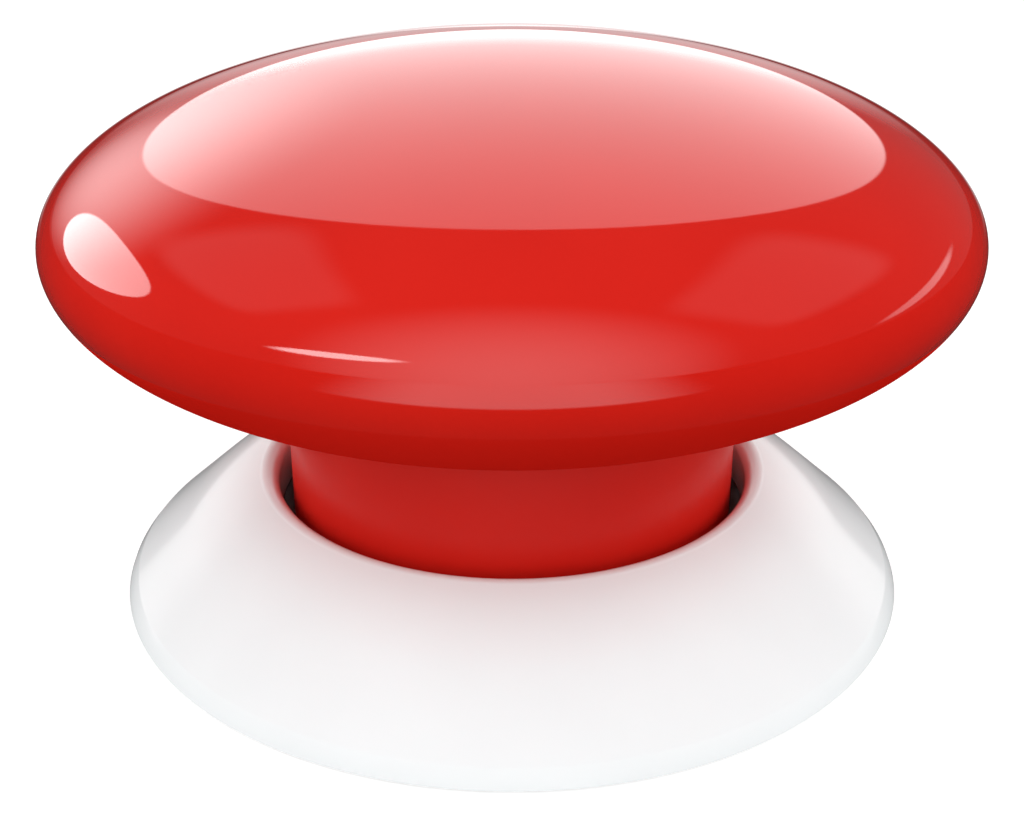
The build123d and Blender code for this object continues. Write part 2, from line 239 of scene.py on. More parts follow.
def surface(name, colours, tint_size, rough, rough_size, bump_size, bump_depth, stretch=(1, 1, 1),
            **constants):
    """A finish with a drifting colour, an uneven gloss and a fine relief, sized in millimetres."""
    made, tree, shader, place = principled(name)
    for socket, value in constants.items():
        shader.inputs[socket.replace("_", " ")].default_value = value
    mixed = add(tree, "ShaderNodeMix", {6: srgb(colours[0]), 7: srgb(colours[1])},
                {0: mottled(tree, place, tint_size, (0, 1), stretch=stretch)}, data_type="RGBA")
    tree.links.new(mixed.outputs[2], shader.inputs["Base Color"])
    gloss = mottled(tree, place, rough_size, rough, detail=3.0, stretch=stretch)
    tree.links.new(gloss, shader.inputs["Roughness"])
    relief = add(tree, "ShaderNodeBump", {"Strength": 1.0, "Distance": mm(bump_depth)},
                 {"Height": mottled(tree, place, bump_size, stretch=stretch)})
    tree.links.new(relief.outputs["Normal"], shader.inputs["Normal"])
    return made


# The grain of rolled, drawn and moulded surfaces is coarser here than on real ones, so that it shows

# Polished red ABS: a deep even red under a clear mirror gloss, with a barely uneven moulded skin
RED_ABS = surface(
    "red_abs_polished", ("CD1E14", "C81B12"), tint_size=9.0, rough=(0.02, 0.04), rough_size=6.0,
    bump_size=7.0, bump_depth=0.004, IOR=1.5)
# The same red where the belly turns under and the mould is left matt, with no sheen; its deeper red is
# painted shade under the belly
RED_ABS_MATT_SHADED = surface(
    "red_abs_matt_painted_shade", ("C51B12", "C01910"), tint_size=9.0, rough=(0.52, 0.58), rough_size=6.0,
    bump_size=0.3, bump_depth=0.002, IOR=1.5, Specular_IOR_Level=0.0)
# The same red on the neck, which is drawn off its core: a soft sheen
RED_ABS_SATIN = surface(
    "red_abs_satin", ("CD1E14", "C81B12"), tint_size=9.0, rough=(0.3, 0.36), rough_size=6.0,
    bump_size=0.3, bump_depth=0.002, IOR=1.5, Specular_IOR_Level=0.25)
# Polished white ABS: clean cool white whose gloss has a soft edge
WHITE_ABS = surface(
    "white_abs_polished", ("EAEFF0", "E7ECED"), tint_size=8.0, rough=(0.1, 0.16), rough_size=5.0,
    bump_size=6.0, bump_depth=0.003, IOR=1.5, Specular_IOR_Level=0.3)
# Spark-eroded white ABS of the floor: dull and finely grained
FLOOR_ABS = surface(
    "white_abs_textured", ("E6E4E0", "DEDCD8"), tint_size=3.0, rough=(0.42, 0.6), rough_size=0.6,
    bump_size=0.18, bump_depth=0.012)
# Natural acetal of the post: milky, faintly waxy, with a soft sheen
POST_ACETAL = surface(
    "natural_acetal", ("CFCABB", "C6C1B1"), tint_size=2.5, rough=(0.28, 0.42), rough_size=0.7,
    bump_size=0.3, bump_depth=0.006)
# Die-cut dark foam rubber of the foot: open little cells, no shine
FOOT_RUBBER = surface(
    "grey_foam_rubber", ("3A3B3D", "2E2F31"), tint_size=0.35, rough=(0.8, 0.95), rough_size=0.3,
    bump_size=0.16, bump_depth=0.05)
# Black glass-filled nylon of the carrier: dull, with faint flow marks
CARRIER_NYLON = surface(
    "black_nylon_moulded", ("242426", "1C1C1E"), tint_size=2.0, rough=(0.38, 0.55), rough_size=0.8,
    bump_size=0.25, bump_depth=0.01)
# Black liquid-crystal polymer of the switch and holder: satin with a faint grain
BLACK_LCP = surface(
    "black_lcp_satin", ("1D1E20", "17181A"), tint_size=1.0, rough=(0.32, 0.5), rough_size=0.4,
    bump_size=0.08, bump_depth=0.004)
# Nickel-plated steel: bright with a fine rolled grain
STEEL = surface(
    "nickel_plated_steel", ("C9C8C4", "B9B8B4"), tint_size=1.4, rough=(0.16, 0.32), rough_size=0.5,
    bump_size=0.06, bump_depth=0.0015, stretch=(1, 8, 1), Metallic=1.0)
# Natural polypropylene seal of the cell: milky and dull
SEAL = surface(
    "natural_polypropylene", ("C2C0B7", "B8B6AC"), tint_size=0.6, rough=(0.45, 0.6), rough_size=0.3,
    bump_size=0.1, bump_depth=0.003)
# Rolled brass strip of the spring contact: warm and bright along its grain
BRASS = surface(
    "rolled_brass", ("D0AC62", "C29D55"), tint_size=0.8, rough=(0.2, 0.36), rough_size=0.3,
    bump_size=0.05, bump_depth=0.0015, stretch=(1, 8, 1), Metallic=1.0)
# Black epoxy of the radio chip: dull, with a faint grain
EPOXY = surface(
    "black_epoxy_matt", ("222224", "1B1B1D"), tint_size=0.4, rough=(0.45, 0.6), rough_size=0.15,
    bump_size=0.05, bump_depth=0.003)
# Fired ceramic: pale, dry and faintly speckled
CERAMIC = surface(
    "fired_ceramic", ("C9BFA9", "B7AC94"), tint_size=0.5, rough=(0.35, 0.55), rough_size=0.2,
    bump_size=0.06, bump_depth=0.003)
# Drawn music wire of the spring: dark bright steel with lengthways die marks
SPRING_STEEL = surface(
    "drawn_music_wire", ("A5A6A8", "8E8F92"), tint_size=0.5, rough=(0.18, 0.34), rough_size=0.3,
    bump_size=0.08, bump_depth=0.002, Metallic=1.0)


def board_material():
    """Green solder mask over copper tracks: the tracks stand a little proud and lighter."""
    made, tree, shader, place = principled("green_solder_mask")
    cells = add(tree, "ShaderNodeTexVoronoi", {"Scale": 1 / mm(TRACK_SPACING)}, {"Vector": place},
                feature="DISTANCE_TO_EDGE", distance="MANHATTAN")
    inner, outer = TRACK_EDGE_SHARES
    track = add(tree, "ShaderNodeMapRange",
                {"From Min": inner, "From Max": outer, "To Min": 1.0, "To Max": 0.0},
                {"Value": cells.outputs["Distance"]}, clamp=True).outputs["Result"]
    mixed = add(tree, "ShaderNodeMix", {6: srgb("14532F"), 7: srgb("2A7A48")}, {0: track}, data_type="RGBA")
    gloss = mottled(tree, place, BOARD_GLOSS_SPOTS, (0.22, 0.34))
    relief = add(tree, "ShaderNodeBump", {"Strength": 1.0, "Distance": mm(TRACK_HEIGHT)}, {"Height": track})
    tree.links.new(mixed.outputs[2], shader.inputs["Base Color"])
    tree.links.new(gloss, shader.inputs["Roughness"])
    tree.links.new(relief.outputs["Normal"], shader.inputs["Normal"])
    return made


BOARD = board_material()


# Half sections: rows of (radius, height) points in millimetres

def ellipse(radius, rise, centre, start, end, steps):
    """Points of an ellipse about (0, centre) between two angles in degrees."""
    points = []
    for step in range(steps + 1):
        angle = math.radians(start + (end - start) * step / steps)
        points.append((radius * math.cos(angle), centre + rise * math.sin(angle)))
    return points


def bend(start, pull, end, steps):
    """Points of a smooth bend between two points, drawn towards a third."""
    points = []
    for step in range(steps + 1):
        share = step / steps
        leaving = Vector(start).lerp(Vector(pull), share)
        arriving = Vector(pull).lerp(Vector(end), share)
        points.append(tuple(leaving.lerp(arriving, share)))
    return points


def angle_at(radius, reach):
    """Angle in degrees at which an ellipse's point is at a distance from the axis."""
    return math.degrees(math.acos(reach / radius))


def rounded(row, corner, radius, steps=CORNER_STEPS):
    """The row with its point nearest to corner replaced by an arc of that radius."""
    place = min(range(len(row)), key=lambda index: math.dist(row[index], corner))
    point = Vector(row[place])
    sides = []
    for step in (-1, 1):
        other = place + step
        while math.dist(row[other], point) < radius and 0 < other < len(row) - 1:
            other += step
        sides.append((Vector(row[other]) - point).normalized())
    half = sides[0].angle(sides[1]) / 2
    reach = radius / math.tan(half)
    centre = point + (sides[0] + sides[1]).normalized() * (radius / math.sin(half))
    first, last = place - 1, place + 1
    while first > 0 and math.dist(row[first], point) < reach:
        first -= 1
    while last < len(row) - 1 and math.dist(row[last], point) < reach:
        last += 1
    start = point + sides[0] * reach - centre
    end = point + sides[1] * reach - centre
    turn = start.angle_signed(end)
    arc = []
    for step in range(steps + 1):
        spun = Vector(start)
        spun.rotate(Matrix.Rotation(-turn * step / steps, 2))
        arc.append(tuple(centre + spun))
    return row[:first + 1] + arc + row[last:]


# Node trees

def new_tree(name, inputs):
    """A geometry node tree with named inputs; returns it with its input and output nodes."""
    tree = bpy.data.node_groups.new(name, "GeometryNodeTree")
    tree.interface.new_socket("Geometry", in_out="INPUT", socket_type="NodeSocketGeometry")
    for label, kind in inputs:
        tree.interface.new_socket(label, in_out="INPUT", socket_type=kind)
    tree.interface.new_socket("Geometry", in_out="OUTPUT", socket_type="NodeSocketGeometry")
    return tree, add(tree, "NodeGroupInput")


def close_tree(tree, geometry, material):
    """Ends a tree: real geometry with its material."""
    real = add(tree, "GeometryNodeRealizeInstances", wires={"Geometry": geometry})
    painted = add(tree, "GeometryNodeSetMaterial",
                  wires={"Geometry": real.outputs["Geometry"], "Material": material})
    add(tree, "NodeGroupOutput", wires={"Geometry": painted.outputs["Geometry"]})


def turned_tree():
    """Turns a row of points about Z in a number of even steps."""
    tree, given = new_tree("turned_profile", [
        ("Steps", "NodeSocketInt"), ("Material", "NodeSocketMaterial")])
    count = add(tree, "GeometryNodeAttributeDomainSize", wires={"Geometry": given.outputs["Geometry"]})
    columns = add(tree, "FunctionNodeIntegerMath", {1: 1}, {0: given.outputs["Steps"]}, operation="ADD")
    grid = add(tree, "GeometryNodeMeshGrid",
               wires={"Vertices X": columns.outputs[0], "Vertices Y": count.outputs["Point Count"]})
    index = add(tree, "GeometryNodeInputIndex").outputs["Index"]
    along = add(tree, "FunctionNodeIntegerMath", wires={0: index, 1: count.outputs["Point Count"]},
                operation="MODULO")
    around = add(tree, "FunctionNodeIntegerMath", wires={0: index, 1: count.outputs["Point Count"]},
                 operation="DIVIDE_FLOOR")
    share = add(tree, "ShaderNodeMath", wires={0: around.outputs[0], 1: given.outputs["Steps"]},
                operation="DIVIDE")
    angle = add(tree, "ShaderNodeMath", {1: math.tau}, {0: share.outputs[0]}, operation="MULTIPLY")
    position = add(tree, "GeometryNodeInputPosition").outputs["Position"]
    point = add(tree, "GeometryNodeSampleIndex", wires={
        "Geometry": given.outputs["Geometry"], "Value": position, "Index": along.outputs[0]},
        data_type="FLOAT_VECTOR", domain="POINT")
    spun = add(tree, "ShaderNodeVectorRotate", wires={"Vector": point.outputs[0], "Angle": angle.outputs[0]},
               rotation_type="Z_AXIS")
    moved = add(tree, "GeometryNodeSetPosition",
                wires={"Geometry": grid.outputs["Mesh"], "Position": spun.outputs["Vector"]})
    joined = add(tree, "GeometryNodeMergeByDistance", {"Distance": mm(JOIN_DISTANCE)},
                 {"Geometry": moved.outputs["Geometry"]})
    close_tree(tree, joined.outputs["Geometry"], given.outputs["Material"])
    return tree


def copies_tree():
    """Sets copies of a mesh round Z at even angles."""
    tree, given = new_tree("copies_around", [
        ("Count", "NodeSocketInt"), ("First", "NodeSocketFloat"), ("Material", "NodeSocketMaterial")])
    points = add(tree, "GeometryNodePoints", wires={"Count": given.outputs["Count"]})
    index = add(tree, "GeometryNodeInputIndex").outputs["Index"]
    share = add(tree, "ShaderNodeMath", wires={0: index, 1: given.outputs["Count"]}, operation="DIVIDE")
    angle = add(tree, "ShaderNodeMath", {1: math.tau}, {0: share.outputs[0], 2: given.outputs["First"]},
                operation="MULTIPLY_ADD")
    turn = add(tree, "ShaderNodeCombineXYZ", wires={"Z": angle.outputs[0]})
    copies = add(tree, "GeometryNodeInstanceOnPoints", wires={
        "Points": points.outputs[0], "Instance": given.outputs["Geometry"], "Rotation": turn.outputs[0]})
    close_tree(tree, copies.outputs["Instances"], given.outputs["Material"])
    return tree


def coil_tree():
    """A round wire wound about Z from its lowest turn up."""
    tree, given = new_tree("wound_wire", [
        ("Turns", "NodeSocketFloat"), ("Radius", "NodeSocketFloat"), ("Rise", "NodeSocketFloat"),
        ("Wire", "NodeSocketFloat"), ("Base", "NodeSocketFloat"), ("Material", "NodeSocketMaterial")])
    spiral = add(tree, "GeometryNodeCurveSpiral", {"Resolution": COIL_STEPS}, {
        "Rotations": given.outputs["Turns"], "Start Radius": given.outputs["Radius"],
        "End Radius": given.outputs["Radius"], "Height": given.outputs["Rise"]})
    section = add(tree, "GeometryNodeCurvePrimitiveCircle", {"Resolution": WIRE_STEPS},
                  {"Radius": given.outputs["Wire"]})
    tube = add(tree, "GeometryNodeCurveToMesh", {"Fill Caps": True},
               {"Curve": spiral.outputs["Curve"], "Profile Curve": section.outputs["Curve"]})
    lift = add(tree, "ShaderNodeCombineXYZ", wires={"Z": given.outputs["Base"]})
    raised = add(tree, "GeometryNodeTransform",
                 wires={"Geometry": tube.outputs["Mesh"], "Translation": lift.outputs[0]})
    close_tree(tree, raised.outputs["Geometry"], given.outputs["Material"])
    return tree


TURNED = turned_tree()
COPIES = copies_tree()
COIL = coil_tree()


def grown(mesh, tree, **inputs):
    """The plain mesh that a node tree makes of a mesh."""
    source = bpy.data.objects.new("source", mesh)
    bpy.context.scene.collection.objects.link(source)
    modifier = source.modifiers.new(tree.name, "NODES")
    modifier.node_group = tree
    for socket in tree.interface.items_tree:
        if socket.in_out == "INPUT" and socket.name in inputs:
            modifier[socket.identifier] = inputs[socket.name]
    graph = bpy.context.evaluated_depsgraph_get()
    plain = bpy.data.meshes.new_from_object(source.evaluated_get(graph), depsgraph=graph)
    bpy.data.objects.remove(source)
    return plain


# Meshes

def turned(row, material, steps=TURN_STEPS):
    """Body of revolution from a row of (radius, height) points in millimetres."""
    row_mesh = bpy.data.meshes.new("profile")
    points = [(mm(radius), 0, mm(height)) for radius, height in row]
    row_mesh.from_pydata(points, [(index, index + 1) for index in range(len(points) - 1)], [])
    return grown(row_mesh, TURNED, Steps=steps, Material=material)


def fin(points, thickness):
    """Plate that stands in a plane through the axis, from (radius, height) points."""
    mesh = bpy.data.meshes.new("fin")
    half = mm(thickness / 2)
    corners = [(mm(radius), side, mm(height)) for side in (-half, half) for radius, height in points]
    count = len(points)
    faces = [list(range(count)), list(range(2 * count - 1, count - 1, -1))]
    for index in range(count):
        after = (index + 1) % count
        faces.append((index, after, after + count, index + count))
    mesh.from_pydata(corners, [], faces)
    return mesh


def sector(outer, inner, low, high, arc):
    """Part of a ring over an arc in degrees, centred on the X axis."""
    mesh = bpy.data.meshes.new("sector")
    corners = []
    for step in range(SECTOR_STEPS + 1):
        angle = math.radians(arc * (step / SECTOR_STEPS - 0.5))
        for radius, height in ((inner, low), (outer, low), (outer, high), (inner, high)):
            corners.append((mm(radius) * math.cos(angle), mm(radius) * math.sin(angle), mm(height)))
    faces = [(3, 2, 1, 0), tuple(4 * SECTOR_STEPS + index for index in range(4))]
    for step in range(SECTOR_STEPS):
        for side in range(4):
            near, far = 4 * step + side, 4 * step + (side + 1) % 4
            faces.append((near, far, far + 4, near + 4))
    mesh.from_pydata(corners, [], faces)
    return mesh


def piece(name, meshes, material, body, node):
    """One object from meshes that are moulded together, in the place of a construction piece."""
    merged = bmesh.new()
    for mesh in meshes:
        merged.from_mesh(mesh)
    bmesh.ops.recalc_face_normals(merged, faces=merged.faces)
    whole = bpy.data.meshes.new(name)
    merged.to_mesh(whole)
    merged.free()
    whole.polygons.foreach_set("use_smooth", [True] * len(whole.polygons))
    whole.set_sharp_from_angle(angle=math.radians(SHARP_ANGLE))
    whole.materials.clear()
    whole.materials.append(material)
    whole.polygons.foreach_set("material_index", [0] * len(whole.polygons))
    made = bpy.data.objects.new(name, whole)
    bpy.context.scene.collection.objects.link(made)
    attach(made, body)
    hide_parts(node)
    return made


# Red cap

def cap_crown():
    """Upper shell: an elliptical crown with ribs inside and a spigot that sits in the lower shell."""
    bore_radius, bore_rise = CAP_RADIUS - CAP_WALL, CROWN_RISE - CAP_WALL
    spigot = bore_radius * math.sqrt(1 - (SPIGOT_DEPTH / (BELLY_DROP - CAP_WALL)) ** 2) - SEAT_GAP
    row = ellipse(CAP_RADIUS, CROWN_RISE, EQUATOR, 90, 0, OUTSIDE_STEPS)
    spigot_end = EQUATOR - SPIGOT_DEPTH
    row += [(spigot, EQUATOR), (spigot, spigot_end), (spigot - SPIGOT_WALL, spigot_end)]
    row += ellipse(bore_radius, bore_rise, EQUATOR, angle_at(bore_radius, spigot - SPIGOT_WALL), 90,
                   INSIDE_STEPS)
    shell = turned(row, RED_ABS)
    middle = ellipse(CAP_RADIUS - CAP_WALL / 2, CROWN_RISE - CAP_WALL / 2, EQUATOR, *RIB_OUTER_ARC,
                     RIB_STEPS)
    inner = ellipse(bore_radius - RIB_HEIGHT, bore_rise - RIB_HEIGHT, EQUATOR, *RIB_INNER_ARC, RIB_STEPS)
    rib = grown(fin(middle + inner, RIB_THICKNESS), COPIES, Count=RIB_COUNT,
                First=math.tau / (2 * RIB_COUNT), Material=RED_ABS)
    return piece("cap_crown", [shell, rib], RED_ABS, "button", "cap_dome")


def cap_belly():
    """Lower shell with the neck: polished to the eye, matt and darkened with painted shade where it turns
    under, and satin on the neck.
    """
    bore_radius, bore_drop = CAP_RADIUS - CAP_WALL, BELLY_DROP - CAP_WALL
    neck_bore = NECK_RADIUS - NECK_WALL
    row = ellipse(CAP_RADIUS, BELLY_DROP, EQUATOR, 0, -angle_at(CAP_RADIUS, NECK_RADIUS), OUTSIDE_STEPS)
    corner = row[-1]
    row += [(NECK_RADIUS, NECK_BOTTOM), (neck_bore, NECK_BOTTOM)]
    row += ellipse(bore_radius, bore_drop, EQUATOR, -angle_at(bore_radius, neck_bore), 0, INSIDE_STEPS)
    row.append((CAP_RADIUS, EQUATOR))
    row = rounded(row, corner, NECK_ROOT)
    row = rounded(row, (NECK_RADIUS, NECK_BOTTOM), NECK_EDGE)
    made = piece("cap_belly_and_neck", [turned(row, RED_ABS)], RED_ABS, "button", "cap_skirt")
    made.data.materials.append(RED_ABS_MATT_SHADED)
    made.data.materials.append(RED_ABS_SATIN)
    for face in made.data.polygons:
        if face.center.z < mm(POLISH_AND_PAINTED_SHADE_END):
            on_neck = math.hypot(face.center.x, face.center.y) < mm(NECK_RADIUS + NECK_ROOT / 2)
            # Faces below that height and away from the neck get the matt red that carries painted shade
            face.material_index = 2 if on_neck else 1
    return made


# White base

def base_dish():
    """Base cover: a domed shell with its well, stop ring, key guides and the ledges of the twist lock."""
    bore_radius, bore_rise = DISH_RADIUS - DISH_WALL, DISH_RISE - DISH_WALL
    ledge_radius = FLOOR_RADIUS + LEDGE_GAP
    lug_bore = FLOOR_RADIUS + LUG_REACH + LEDGE_GAP
    seat_radius = (ledge_radius + lug_bore) / 2
    seat_height = FLOOR_TOP + LUG_PLAY
    crown = ellipse(DISH_RADIUS, DISH_RISE, DISH_CENTRE, angle_at(DISH_RADIUS, SHOULDER_START),
                    angle_at(DISH_RADIUS, WELL_RADIUS), CROWN_STEPS)
    lip = crown[-1]
    row = [CONE_END, CONE_START]
    row += bend(SHOULDER_END, SHOULDER_PULL, crown[0], SHOULDER_STEPS) + crown[1:]
    row += [(WELL_RADIUS, STOP_FACE), (STOP_RING_RADIUS, STOP_FACE)]
    row += ellipse(bore_radius, bore_rise, DISH_CENTRE, angle_at(bore_radius, STOP_RING_RADIUS),
                   angle_at(bore_radius, seat_radius), BORE_STEPS)
    row += [(seat_radius, seat_height), (lug_bore, seat_height), (lug_bore, PAD_STAND)]
    row += [(FLANGE_RADIUS, PAD_STAND)] + RIM_BAND + [CONE_END]
    row = rounded(row, lip, LIP_RADIUS, LIP_STEPS)
    shell = turned(row, WHITE_ABS)
    ledge_top = FLOOR_TOP - LUG_THICKNESS - LUG_PLAY
    ledge = sector(lug_bore + LUG_REACH / 2, ledge_radius, PAD_STAND, ledge_top, LEDGE_ARC)
    stop = sector(lug_bore + LUG_REACH / 2, ledge_radius, PAD_STAND, seat_height, STOP_ARC)
    stop_angle = math.radians((LUG_ARC + STOP_ARC) / 2) + FREE_GAP / lug_bore
    key_end = STOP_RING_RADIUS + DISH_WALL / 2
    key_top = STOP_FACE + DISH_WALL / 2
    key = fin([(KEY_INNER, KEY_LOW), (key_end, KEY_LOW), (key_end, key_top), (KEY_INNER, key_top)],
              KEY_WIDTH)
    extras = [
        grown(ledge, COPIES, Count=LUG_COUNT, First=0.0, Material=WHITE_ABS),
        grown(stop, COPIES, Count=LUG_COUNT, First=-stop_angle, Material=WHITE_ABS),
        grown(key, COPIES, Count=KEY_COUNT, First=math.tau / (2 * KEY_COUNT), Material=WHITE_ABS),
    ]
    return piece("base_dish", [shell] + extras, WHITE_ABS, "base", "base_cover")


def foot_ring():
    """Foam ring that the object stands on, with its lower edges eased."""
    row = [(PAD_HOLE_RADIUS, PAD_THICKNESS), (PAD_HOLE_RADIUS, 0), (PAD_RADIUS, 0)]
    row += [(PAD_RADIUS, PAD_THICKNESS), (PAD_HOLE_RADIUS, PAD_THICKNESS)]
    row = rounded(row, (PAD_RADIUS, 0), PAD_EDGE)
    row = rounded(row, (PAD_HOLE_RADIUS, 0), PAD_EDGE)
    ring = turned(row, FOOT_RUBBER, PAD_TURN_STEPS)
    return piece("foot_ring", [ring], FOOT_RUBBER, "floor", "foot_pad")


def coil():
    """Return spring between the floor and the carrier, which shortens as the cap goes down."""
    rise = SPRING_LENGTH - 2 * SPRING_WIRE
    wire = grown(bpy.data.meshes.new("empty"), COIL, Turns=float(SPRING_TURNS), Radius=mm(SPRING_RADIUS),
                 Rise=mm(rise), Wire=mm(SPRING_WIRE), Base=mm(FLOOR_TOP + SPRING_WIRE),
                 Material=SPRING_STEEL)
    made = piece("lift_spring", [wire], SPRING_STEEL, "base", "return_spring")
    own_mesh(made)
    return made


# Finishes of the construction pieces that stay in view
CAD_FINISH = {
    "base_floor": FLOOR_ABS,
    "switch_post": POST_ACETAL,
    "carrier": CARRIER_NYLON,
    "circuit_board": BOARD,
    "cell_holder": BLACK_LCP,
    "cell_can": STEEL,
    "cell_seal": SEAL,
    "cell_cap": STEEL,
    "positive_clip": STEEL,
    "negative_contact": BRASS,
    "switch_housing": BLACK_LCP,
    "switch_cover": STEEL,
    "switch_legs": STEEL,
    "switch_plunger": BLACK_LCP,
    "radio_chip": EPOXY,
    "crystal": STEEL,
    "chip_antenna": CERAMIC,
    "chip_parts": CERAMIC,
}


def paint_cad():
    """Gives each construction piece that stays in view its finish."""
    for name, material in CAD_FINISH.items():
        mesh = frame["nodes"][name].data
        mesh.materials.clear()
        mesh.materials.append(material)


# Studio

def camera():
    """Camera at the photograph's angle, level from side to side and tilted down at the object."""
    data = bpy.data.cameras.new("camera")
    data.lens = LENS
    data.sensor_width = SENSOR_WIDTH
    data.clip_start = mm(NEAREST_SEEN)
    made = bpy.data.objects.new("camera", data)
    bpy.context.scene.collection.objects.link(made)
    back = mm(CAMERA_DISTANCE)
    made.location = (0, -back * math.cos(CAMERA_TILT), mm(CAMERA_AIM) + back * math.sin(CAMERA_TILT))
    made.rotation_euler = (math.pi / 2 - CAMERA_TILT, 0, 0)
    bpy.context.scene.camera = made


def aimed(made, direction, roll=0.0):
    """Sets a stage object in a direction from the cap, with its face towards the cap."""
    towards = Vector(direction).normalized()
    made.location = towards * mm(STAGE_DISTANCE) + Vector((0, 0, mm(EQUATOR)))
    made.rotation_mode = "QUATERNION"
    spin = Matrix.Rotation(math.radians(roll), 3, "Z").to_quaternion()
    made.rotation_quaternion = towards.to_track_quat("Z", "Y") @ spin
    made.visible_camera = False
    bpy.context.scene.collection.objects.link(made)


def half_span(width):
    """Half of what an angle in degrees spans at the distance of the lamps and reflectors."""
    return mm(STAGE_DISTANCE) * math.tan(math.radians(width / 2))


def lamp(name, direction, width, radiance):
    """Round soft light that shows in no reflection; width in degrees, radiance where 1 is white."""
    data = bpy.data.lights.new(name, "AREA")
    data.shape = "DISK"
    data.size = 2 * half_span(width)
    # A disc's power is its radiance times pi times its area
    data.energy = radiance * (math.pi * data.size / 2) ** 2
    made = bpy.data.objects.new(name, data)
    made.visible_glossy = False
    aimed(made, direction)


def only(name, pieces):
    """Collection that keeps a reflector to some pieces, as a flag does in a studio."""
    made = bpy.data.collections.new(name)
    for made_piece in pieces:
        made.objects.link(made_piece)
    return made


def card(name, direction, width, height, radiance, receivers, soft=0.05, square=2.0, roll=0.0):
    """Glowing reflector that shows only in reflections.

    Its width, height and roll are in degrees. Its glow falls off over the soft share at its rim, which is an
    ellipse where square is 2 and nears a rectangle above that.
    """
    made = bpy.data.materials.new(name)
    made.use_nodes = True
    tree = made.node_tree
    tree.nodes.clear()
    place = add(tree, "ShaderNodeTexCoord").outputs["Object"]
    parts = add(tree, "ShaderNodeSeparateXYZ", wires={"Vector": place})
    powers = []
    for axis in ("X", "Y"):
        size = add(tree, "ShaderNodeMath", wires={0: parts.outputs[axis]}, operation="ABSOLUTE")
        power = add(tree, "ShaderNodeMath", {1: square}, {0: size.outputs[0]}, operation="POWER")
        powers.append(power.outputs[0])
    total = add(tree, "ShaderNodeMath", wires={0: powers[0], 1: powers[1]}, operation="ADD")
    reach = add(tree, "ShaderNodeMath", {1: 1 / square}, {0: total.outputs[0]}, operation="POWER")
    glow = add(tree, "ShaderNodeMapRange",
               {"From Min": 1 - soft, "From Max": 1.0, "To Min": radiance, "To Max": 0.0},
               {"Value": reach.outputs[0]}, interpolation_type="SMOOTHSTEP")
    light = add(tree, "ShaderNodeEmission", wires={"Strength": glow.outputs["Result"]})
    clear = add(tree, "ShaderNodeBsdfTransparent")
    both = add(tree, "ShaderNodeAddShader", wires={0: light.outputs[0], 1: clear.outputs[0]})
    add(tree, "ShaderNodeOutputMaterial", wires={"Surface": both.outputs[0]})
    mesh = bpy.data.meshes.new(name)
    mesh.from_pydata([(-1, -1, 0), (1, -1, 0), (1, 1, 0), (-1, 1, 0)], [], [(0, 1, 2, 3)])
    mesh.materials.append(made)
    panel = bpy.data.objects.new(name, mesh)
    aimed(panel, direction, roll)
    panel.scale = (half_span(width), half_span(height), 1)
    panel.visible_diffuse = False
    panel.visible_shadow = False
    panel.light_linking.receiver_collection = receivers


def toward(azimuth, elevation):
    """Direction from the cap: azimuth 0 is away from the viewer, 90 is right; both in degrees."""
    turn, rise = math.radians(azimuth), math.radians(elevation)
    return math.sin(turn) * math.cos(rise), math.cos(turn) * math.cos(rise), math.sin(rise)


def world():
    """White to the camera, soft white light on dull surfaces, and dark in reflections."""
    made = bpy.data.worlds.new("studio")
    made.use_nodes = True
    tree = made.node_tree
    tree.nodes.clear()
    rays = add(tree, "ShaderNodeLightPath")
    soft = add(tree, "ShaderNodeMix", {2: SKY_ON_DULL, 3: SKY_IN_GLOSS}, {0: rays.outputs["Is Glossy Ray"]},
               data_type="FLOAT")
    strength = add(tree, "ShaderNodeMix", {3: 1.0}, {0: rays.outputs["Is Camera Ray"], 2: soft.outputs[0]},
                   data_type="FLOAT")
    back = add(tree, "ShaderNodeBackground", {"Color": (1, 1, 1, 1)}, {"Strength": strength.outputs[0]})
    add(tree, "ShaderNodeOutputWorld", wires={"Surface": back.outputs["Background"]})
    bpy.context.scene.world = made


def patch(tree, *edges):
    """1 in a patch of the floor and 0 outside it.

    Each edge is a distance and the two places, in millimetres, between which it fades from 0 to 1.
    """
    inside = None
    for distance, (low, high) in edges:
        fade = add(tree, "ShaderNodeMapRange",
                   {"From Min": mm(low), "From Max": mm(high), "To Min": 0.0, "To Max": 1.0},
                   {"Value": distance}, interpolation_type="SMOOTHSTEP").outputs["Result"]
        if inside is None:
            inside = fade
        else:
            inside = add(tree, "ShaderNodeMath", wires={0: inside, 1: fade}, operation="MULTIPLY").outputs[0]
    return inside


